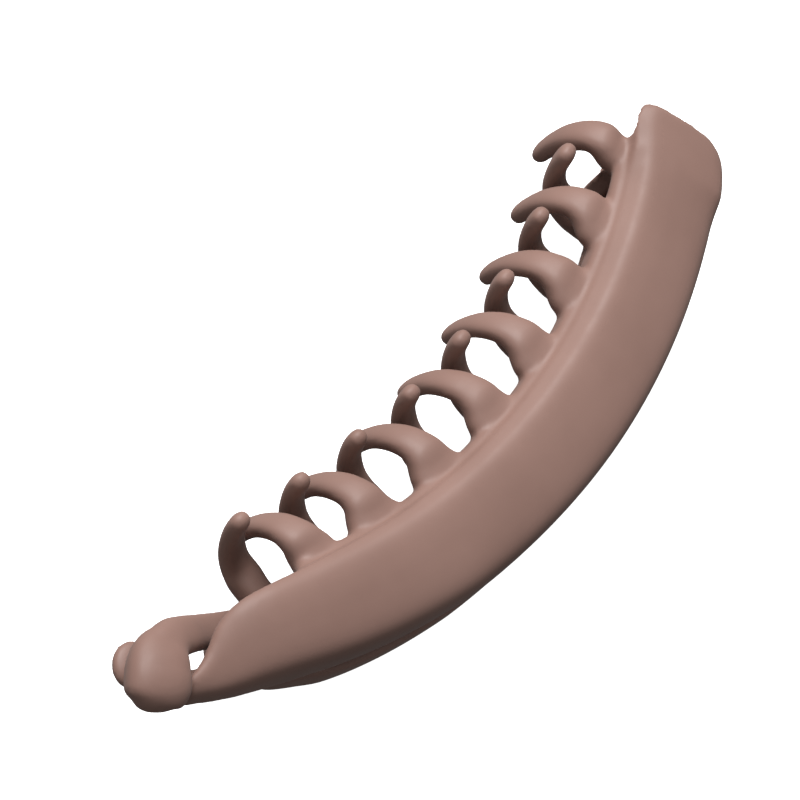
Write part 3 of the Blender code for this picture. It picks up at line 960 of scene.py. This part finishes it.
# %% [markdown]
# ## Drawn steel
# Wire is pulled through a die, and that leaves fine lines along it. A plain metal would look like a mirror
# rod. So one noise, stretched along the pin, sets both how rough the steel is and its faint scratches.

# %% The pin's steel
STEEL_GREY = (0.62, 0.61, 0.59, 1.0)
ALONG_THE_WIRE = (1.0, 0.08, 1.0)
DIE_LINE_SIZE = 0.15
DIE_LINE_DEPTH = 0.01
steel, tree, shader, place = empty_material("drawn_wire_steel")
stretched = node(tree, "ShaderNodeMapping", Scale=ALONG_THE_WIRE)
tree.links.new(place, stretched.inputs["Vector"])
lines = noise(tree, stretched.outputs["Vector"], DIE_LINE_SIZE, detail=3.0)
shader.inputs["Base Color"].default_value = STEEL_GREY
shader.inputs["Metallic"].default_value = 1.0
tree.links.new(remap(tree, lines, 0.25, 0.42), shader.inputs["Roughness"])
scratch = node(tree, "ShaderNodeBump", Strength=0.3, Distance=DIE_LINE_DEPTH * MM)
tree.links.new(lines, scratch.inputs["Height"])
tree.links.new(scratch.outputs["Normal"], shader.inputs["Normal"])
print("steel:", len(tree.nodes), "nodes")

# %% [markdown]
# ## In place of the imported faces
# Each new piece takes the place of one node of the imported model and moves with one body. The pin sits in the
# lower half's knuckles, so it rides on the lower half.

# %% Dress the bodies
for piece, material, body, name in (
    (upper_half, plastic, "upper_half", "upper_half"),
    (lower_half, plastic, "lower_half", "lower_half"),
    (pin, steel, "lower_half", "hinge_pin"),
):
    piece.data.materials.clear()
    piece.data.materials.append(material)
    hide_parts(name)
    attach(piece, body)
    print(piece.name, "stands for", name, "and rides on", body)

# %% [markdown]
# ## The floor
# The clip rests on the crown of its lower cover, on a floor that fades into plain white. White paper would
# have to be lit evenly, and its bounce would fill the shade under the comb. So the floor glows by itself,
# like paper lit from behind, and is hidden from bounced and mirrored light.

# %% White floor
FLOOR_HALF = 3.0
CARD_WHITE = (0.93, 0.93, 0.93, 1.0)
CARD_GLOW = 1.0
floor_z = min(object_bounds()[0].z, cad_low.z)
floor_mesh = bpy.data.meshes.new("floor")
corners = [
    (-FLOOR_HALF, -FLOOR_HALF),
    (FLOOR_HALF, -FLOOR_HALF),
    (FLOOR_HALF, FLOOR_HALF),
    (-FLOOR_HALF, FLOOR_HALF),
]
floor_mesh.from_pydata([(x, y, floor_z) for x, y in corners], [], [(0, 1, 2, 3)])
floor = bpy.data.objects.new("floor", floor_mesh)
bpy.context.scene.collection.objects.link(floor)
card, tree, shader, place = empty_material("white_card")
shader.inputs["Base Color"].default_value = CARD_WHITE
shader.inputs["Roughness"].default_value = 0.9
shader.inputs["Specular IOR Level"].default_value = 0.1
shader.inputs["Emission Color"].default_value = (1.0, 1.0, 1.0, 1.0)
shader.inputs["Emission Strength"].default_value = CARD_GLOW
floor.visible_diffuse = False
floor.visible_glossy = False
floor_mesh.materials.append(card)
print("floor at", round(1000 * floor_z, 2), "mm")

# %% [markdown]
# ## The camera
# The photo looks down on the lying clip with a long lens, so far things look hardly smaller than near ones.
# A camera could be aimed with a tracking constraint. But the clip's tilt in the frame matters here, so the
# camera gets its own right and up directions, and a lens that gives the photo's pixels for each millimetre.

# %% The camera's own directions
RIGHT = Vector((0.599, -0.682, 0.4195)).normalized()
UP = Vector((0.5586, 0.7314, 0.3912)).normalized()
BACK = RIGHT.cross(UP).normalized()
UP = BACK.cross(RIGHT).normalized()
CAMERA_DISTANCE = 0.7
PIXELS_PER_MM = 7.1
IMAGE_SIDE = 800
SENSOR = 36.0
camera_data = bpy.data.cameras.new("camera")
camera_data.sensor_width = SENSOR
camera_data.lens = PIXELS_PER_MM * 1000 * CAMERA_DISTANCE / IMAGE_SIDE * SENSOR
camera = bpy.data.objects.new("camera", camera_data)
bpy.context.scene.collection.objects.link(camera)
facing = Matrix((RIGHT, UP, BACK)).transposed()
camera.matrix_world = Matrix.Translation(BACK * CAMERA_DISTANCE) @ facing.to_4x4()
bpy.context.scene.camera = camera
print("lens:", round(camera_data.lens, 1), "mm")

# %% [markdown]
# ## The light
# The picture was lit from above the frame, a little toward the camera: the strip along the concave edge is
# the brightest, and faces that look down the frame fall into shade. One large square lamp gives that. A
# second lamp would add a second shadow, so a weak sky fills the shade instead, brighter on the lamp's side.

# %% The key lamp
def soft_lamp(name, direction, distance, side, watts):
    """A square lamp that faces the clip from this direction."""
    data = bpy.data.lights.new(name, "AREA")
    data.shape = "SQUARE"
    data.size = side
    data.energy = watts
    lamp = bpy.data.objects.new(name, data)
    lamp.location = direction.normalized() * distance
    lamp.rotation_mode = "QUATERNION"
    lamp.rotation_quaternion = (-direction).to_track_quat("-Z", "Y")
    bpy.context.scene.collection.objects.link(lamp)


KEY_WAY = Vector((0.22, 0.66, 0.75)).normalized()
KEY_DISTANCE = 1.2
KEY_SIDE = 0.8
KEY_WATTS = 20.5
soft_lamp("key", KEY_WAY, KEY_DISTANCE, KEY_SIDE, KEY_WATTS)
print("key lamp:", KEY_WATTS, "W, from", KEY_DISTANCE, "m")

# %% The sky
SKY_FAR_SIDE = 0.06
SKY_LAMP_SIDE = 0.45
sky = bpy.data.worlds.new("pale_sky")
bpy.context.scene.world = sky
sky.use_nodes = True
tree = sky.node_tree
toward_key = node(tree, "ShaderNodeVectorMath")
toward_key.operation = "DOT_PRODUCT"
toward_key.inputs[1].default_value = KEY_WAY
tree.links.new(tree.nodes.new("ShaderNodeTexCoord").outputs["Generated"], toward_key.inputs[0])
share = node(tree, "ShaderNodeMapRange", From_Min=-1.0, From_Max=1.0)
share.inputs["To Min"].default_value = SKY_FAR_SIDE
share.inputs["To Max"].default_value = SKY_LAMP_SIDE
tree.links.new(toward_key.outputs["Value"], share.inputs["Value"])
tree.links.new(share.outputs["Result"], tree.nodes["Background"].inputs["Strength"])
tree.nodes["Background"].inputs["Color"].default_value = (1.0, 1.0, 1.0, 1.0)
bpy.context.scene.view_settings.view_transform = "Standard"
print("sky strength from", SKY_FAR_SIDE, "to", SKY_LAMP_SIDE)
